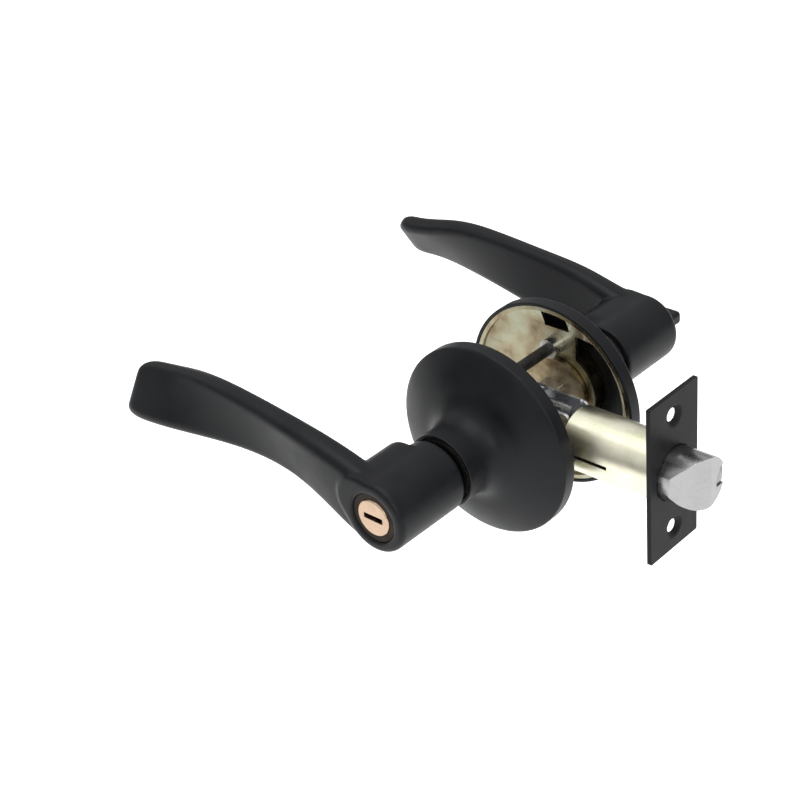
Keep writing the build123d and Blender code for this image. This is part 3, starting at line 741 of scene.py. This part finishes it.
def make_black_nylon_painted_shade():
    """Moulded black nylon with a matt skin, made near-black and all but sheenless as painted shade for
    the gap between each hub and its rose's neck.
    """
    # Painted shade: the tones and the low specular make the washers and circlips read as the shadow in
    # the gap.
    return metal(
        "black_nylon_painted_gap_shade",
        ((0.0012, 0.0012, 0.0012), (0.0018, 0.0018, 0.0018), (0.0026, 0.0026, 0.0026)),
        (0.6, 0.75),
        metallic=0.0,
        grain=0.00025,
        patch=0.006,
        grain_height=0.02,
        specular=0.05,
    )


FINISHES = {
    "satin_black_coat": make_black_coat,
    "brushed_plate_coat": make_plate_coat,
    "yellow_chromated_zinc": make_yellow_plating,
    "chromated_pressing_painted_shade": make_dished_plating,
    "brown_plating_painted_shade": make_brown_plating_painted_shade,
    "clear_zinc_plate": make_clear_plating,
    "bright_bolt_plating": make_bright_plating,
    "pale_plug_brass": make_plug_brass,
    "dark_ring_bronze": make_ring_bronze,
    "drawn_spring_steel": make_spring_steel,
    "oiled_sintered_steel": make_sintered_steel,
    "black_oxide_painted_shade": make_black_oxide_painted_shade,
    "black_nylon_painted_gap_shade": make_black_nylon_painted_shade,
}

FINISH_OF_SLOT = {
    "satin_black": "satin_black_coat",
    "yellow_zinc": "yellow_chromated_zinc",
    "clear_zinc": "clear_zinc_plate",
    "chrome": "bright_bolt_plating",
    "pale_brass": "pale_plug_brass",
    "dark_bronze": "dark_ring_bronze",
    "spring_steel": "drawn_spring_steel",
    "sintered_steel": "oiled_sintered_steel",
    "black_nylon": "black_nylon_painted_gap_shade",
}

# Nodes whose finish differs from the rest of their slot.
FINISH_OF_NODE = {
    # The circlips take the near-black nylon, which paints the shade in the gap between hub and rose
    # neck.
    "outside_circlip": "black_nylon_painted_gap_shade",
    "inside_circlip": "black_nylon_painted_gap_shade",
    # The drive sleeves and spring housings take the brown plating with painted shade.
    "outside_drive_sleeve": "brown_plating_painted_shade",
    "inside_drive_sleeve": "brown_plating_painted_shade",
    "outside_spring_housing": "brown_plating_painted_shade",
    "inside_spring_housing": "brown_plating_painted_shade",
    # The mounting posts and screws are made near-black as painted shade.
    "mounting_posts": "black_oxide_painted_shade",
    "mounting_screws": "black_oxide_painted_shade",
}


def finish(name):
    """The named finish, made the first time it is asked for."""
    return bpy.data.materials.get(name) or FINISHES[name]()


# Operators --------------------------------------------------------------------------------------


class LOCKSET_OT_finishes(bpy.types.Operator):
    """Give every frame node the finish of its material slot"""

    bl_idname = "lockset.finishes"
    bl_label = "Frame Finishes"

    def execute(self, context):
        for node, part in frame["nodes"].items():
            for index, slot in enumerate(part.material_slots):
                wanted = slot.material.name.split(".")[0]
                if wanted not in FINISH_OF_SLOT:
                    raise RuntimeError(f"{node} has a material with no finish: {wanted}")
                wanted_finish = FINISH_OF_NODE.get(node, FINISH_OF_SLOT[wanted])
                part.material_slots[index].material = finish(wanted_finish)
        return {"FINISHED"}


class LOCKSET_OT_levers(bpy.types.Operator):
    """Cast both levers with softened joins between hub and arm"""

    bl_idname = "lockset.levers"
    bl_label = "Levers"

    # Rounds of smoothing, which soften the join between hub and arm.
    smoothing = 16

    def execute(self, context):
        step = context.scene.lockset_sizes.casting_step
        for side in SIDES:
            node = f"{side}_lever"
            piece = merged_copy(node, f"{side}_cast_lever")
            apply_modifier(piece, "REMESH", mode="VOXEL", voxel_size=step, adaptivity=0.0)
            apply_modifier(piece, "SMOOTH", factor=0.5, iterations=self.smoothing)
            settle(piece, node, "satin_black_coat", creased=False)
        return {"FINISHED"}


class LOCKSET_OT_roses(bpy.types.Operator):
    """Spin both roses with rounded rims"""

    bl_idname = "lockset.roses"
    bl_label = "Roses"

    def execute(self, context):
        width = context.scene.lockset_sizes.sheet_edge
        for side in SIDES:
            name = f"{side}_spun_rose"
            softened(f"{side}_rose", name, width, "satin_black_coat")
        return {"FINISHED"}


class LOCKSET_OT_plates(bpy.types.Operator):
    """Press the dished mounting plates behind the roses"""

    bl_idname = "lockset.plates"
    bl_label = "Plates"

    def execute(self, context):
        width = context.scene.lockset_sizes.sheet_edge
        for side in SIDES:
            name = f"{side}_dished_plate"
            softened(f"{side}_mounting_plate", name, width, "chromated_pressing_painted_shade")
        return {"FINISHED"}


class LOCKSET_OT_latch(bpy.types.Operator):
    """Finish the faceplate, tube, bolt, plunger, case plates and spindle"""

    bl_idname = "lockset.latch"
    bl_label = "Latch"

    # Node, piece, edge size, finish, slot and the faces across each rounded edge.
    pieces = (
        ("faceplate", "brushed_faceplate", "sheet_edge", "brushed_plate_coat", "satin_black", 3),
        ("latch_tube", "rolled_tube", "turned_edge", "yellow_chromated_zinc", "yellow_zinc", 3),
        ("latch_bolt", "tumbled_bolt", "bolt_edge", "bright_bolt_plating", "chrome", 4),
        (
            "deadlatch_plunger",
            "die_cast_plunger",
            "turned_edge",
            "oiled_sintered_steel",
            "sintered_steel",
            3,
        ),
        ("latch_case_plates", "stamped_case_plates", "turned_edge", "clear_zinc_plate", "clear_zinc", 3),
        ("spindle", "square_spindle", "turned_edge", "clear_zinc_plate", "clear_zinc", 3),
    )

    def execute(self, context):
        for node, name, edge, material, slot, segments in self.pieces:
            width = getattr(context.scene.lockset_sizes, edge)
            softened(node, name, width, material, segments)
        return {"FINISHED"}


class LOCKSET_OT_springs(bpy.types.Operator):
    """Wind the bolt's and the plunger's springs"""

    bl_idname = "lockset.springs"
    bl_label = "Springs"

    # Node, the slide that shortens it, and its length at that slide's limit as a share of its own.
    springs = (("bolt_spring", "bolt_slide", 0.5), ("plunger_spring", "deadlatch_slide", 0.26))

    def execute(self, context):
        for node, joint, keep in self.springs:
            piece = merged_copy(node, f"wound_{node}")
            settle(piece, node, "drawn_spring_steel", creased=False)
            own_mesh(piece)
        return {"FINISHED"}


class LOCKSET_OT_cylinder(bpy.types.Operator):
    """Finish the lock cylinder, its key plug and the turn button"""

    bl_idname = "lockset.cylinder"
    bl_label = "Cylinder"

    def execute(self, context):
        width = context.scene.lockset_sizes.turned_edge
        softened("cylinder_body", "turned_cylinder", width, "dark_ring_bronze")
        softened("key_plug", "faced_key_plug", width, "pale_plug_brass")
        softened("turn_button", "cast_turn_button", width * 1.5, "satin_black_coat")
        return {"FINISHED"}


class LOCKSET_OT_studio(bpy.types.Operator):
    """Set the pale floor, the soft lights and the camera"""

    bl_idname = "lockset.studio"
    bl_label = "Studio"

    # Brightness of the room from straight down (0) to straight up (1).
    room_tones = ((0.0, 0.05), (0.42, 0.1), (0.56, 0.3), (0.7, 0.75), (1.0, 1.0))

    # Each soft box's name, place, width and watts.
    lamps = (
        ("overhead_box", (0.0, -0.1, 0.9), 0.8, 4.5),
        ("left_box", (-0.85, -0.2, 0.6), 0.5, 0.5),
        ("right_box", (0.8, -0.6, 0.55), 0.5, 3.0),
    )
    floor_width = 6.0
    floor_roughness = 0.9

    # Degrees that the camera is turned from the keyed side, raised and rolled, then the point that it
    # looks at, measured from the origin along the camera's level right and its up.
    camera_turn = 44.366
    camera_height = 31.132
    camera_roll = -5.212
    aim_right = -0.039625
    aim_up = 0.008277
    lens_mm = 81.776
    sensor_mm = 36.0

    def execute(self, context):
        studio = context.scene.lockset_studio
        self.lay_floor(context, studio)
        self.hang_lights(context)
        self.fill_room(context, studio)
        self.place_camera(context, studio)
        return {"FINISHED"}

    def lay_floor(self, context, studio):
        """A wide pale floor, low enough for the levers to swing down without meeting it."""
        bpy.ops.object.select_all(action="DESELECT")
        reach = abs(CAD_BOX[0].x) + studio.floor_room
        bpy.ops.mesh.primitive_plane_add(size=self.floor_width, location=(0.0, 0.0, -reach))
        floor = context.active_object
        floor.name = "studio_floor"
        material = bpy.data.materials.new("pale_floor")
        material.use_nodes = True
        tree = material.node_tree
        shader = tree.nodes["Principled BSDF"]
        place = add(tree, "ShaderNodeTexCoord").outputs["Object"]
        grain = effect(tree, "Fine Grain", place, grain_size=0.002, patch_size=0.4)
        base = tuple(studio.floor_colour)
        patches = grain.outputs["Patches"]
        colour = blend_colour(tree, patches, shade_of(base, 0.99), shade_of(base, 1.01))
        tree.links.new(colour, shader.inputs["Base Color"])
        shader.inputs["Roughness"].default_value = self.floor_roughness
        shader.inputs["Emission Color"].default_value = WHITE
        shader.inputs["Emission Strength"].default_value = studio.floor_glow
        floor.data.materials.append(material)

    def hang_lights(self, context):
        """Soft boxes aimed at the origin: one large overhead, one to each side."""
        for name, spot, size, power in self.lamps:
            lamp = bpy.data.lights.new(name, "AREA")
            lamp.shape = "SQUARE"
            lamp.size = size
            lamp.energy = power
            holder = bpy.data.objects.new(name, lamp)
            context.scene.collection.objects.link(holder)
            holder.location = spot
            holder.rotation_euler = (-Vector(spot)).to_track_quat("-Z", "Y").to_euler()

    def fill_room(self, context, studio):
        """A room with a bright ceiling and dim walls, which looks plain white from the camera."""
        room = bpy.data.worlds.new("white_room")
        room.use_nodes = True
        tree = room.node_tree
        direction = add(tree, "ShaderNodeSeparateXYZ")
        tree.links.new(add(tree, "ShaderNodeTexCoord").outputs["Generated"], direction.inputs[0])
        climb = spread(tree, direction.outputs["Z"], -1.0, 1.0, 0.0, 1.0)
        ramp = add(tree, "ShaderNodeValToRGB")
        tree.links.new(climb, ramp.inputs["Fac"])
        stops = ramp.color_ramp.elements
        for _ in range(len(self.room_tones) - 2):
            stops.new(0.5)
        for stop, (place, tone) in zip(stops, self.room_tones):
            stop.position = place
            stop.color = (tone, tone, tone, 1.0)
        tree.links.new(ramp.outputs["Color"], tree.nodes["Background"].inputs["Color"])
        tree.nodes["Background"].inputs["Strength"].default_value = studio.room_strength
        plain = add(tree, "ShaderNodeBackground")
        plain.inputs["Color"].default_value = WHITE
        choose = add(tree, "ShaderNodeMixShader")
        ray = add(tree, "ShaderNodeLightPath")
        tree.links.new(ray.outputs["Is Camera Ray"], choose.inputs[0])
        tree.links.new(tree.nodes["Background"].outputs[0], choose.inputs[1])
        tree.links.new(plain.outputs[0], choose.inputs[2])
        tree.links.new(choose.outputs[0], tree.nodes["World Output"].inputs["Surface"])
        context.scene.world = room

    def place_camera(self, context, studio):
        """A long lens, above and to the right of the keyed side, with a slight tilt."""
        turn = math.radians(self.camera_turn)
        height = math.radians(self.camera_height)
        roll = math.radians(self.camera_roll)
        right = Vector((math.cos(turn), math.sin(turn), 0.0))
        level = math.cos(height)
        back = Vector((math.sin(turn) * level, -math.cos(turn) * level, math.sin(height)))
        up = back.cross(right)
        target = right * self.aim_right + up * self.aim_up
        side = right * math.cos(roll) + up * math.sin(roll)
        top = up * math.cos(roll) - right * math.sin(roll)
        lens = bpy.data.cameras.new("lockset_camera")
        lens.sensor_width = self.sensor_mm
        lens.lens = self.lens_mm
        lens.clip_start = 0.01
        lens.dof.use_dof = False
        camera = bpy.data.objects.new("lockset_camera", lens)
        context.scene.collection.objects.link(camera)
        turned = Matrix((side, top, back)).transposed().to_4x4()
        camera.matrix_world = Matrix.Translation(target + back * studio.camera_distance) @ turned
        context.scene.camera = camera
        context.scene.view_settings.view_transform = "Standard"


class LOCKSET_PT_panel(bpy.types.Panel):
    """Lists the lockset's sizes, colours and steps"""

    bl_idname = "LOCKSET_PT_panel"
    bl_label = "Lever Lockset"
    bl_space_type = "VIEW_3D"
    bl_region_type = "UI"
    bl_category = "Lockset"

    def draw(self, context):
        for group in (
            context.scene.lockset_sizes,
            context.scene.lockset_colours,
            context.scene.lockset_studio,
        ):
            box = self.layout.box()
            for name in group.__annotations__:
                box.prop(group, name)
        for step in STEPS:
            self.layout.operator(step.bl_idname)


STEPS = (
    LOCKSET_OT_finishes,
    LOCKSET_OT_levers,
    LOCKSET_OT_roses,
    LOCKSET_OT_plates,
    LOCKSET_OT_latch,
    LOCKSET_OT_springs,
    LOCKSET_OT_cylinder,
    LOCKSET_OT_studio,
)
GROUPS = (
    ("lockset_sizes", LocksetSizes),
    ("lockset_colours", LocksetColours),
    ("lockset_studio", LocksetStudio),
)


def register():
    for name, group in GROUPS:
        bpy.utils.register_class(group)
        setattr(bpy.types.Scene, name, bpy.props.PointerProperty(type=group))
    for step in STEPS:
        bpy.utils.register_class(step)
    bpy.utils.register_class(LOCKSET_PT_panel)


def unregister():
    bpy.utils.unregister_class(LOCKSET_PT_panel)
    for step in reversed(STEPS):
        bpy.utils.unregister_class(step)
    for name, group in reversed(GROUPS):
        delattr(bpy.types.Scene, name)
        bpy.utils.unregister_class(group)


def main():
    register()
    bpy.ops.lockset.finishes()
    bpy.ops.lockset.levers()
    bpy.ops.lockset.roses()
    bpy.ops.lockset.plates()
    bpy.ops.lockset.latch()
    bpy.ops.lockset.springs()
    bpy.ops.lockset.cylinder()
    bpy.ops.lockset.studio()


if __name__ == "__main__":
    main()
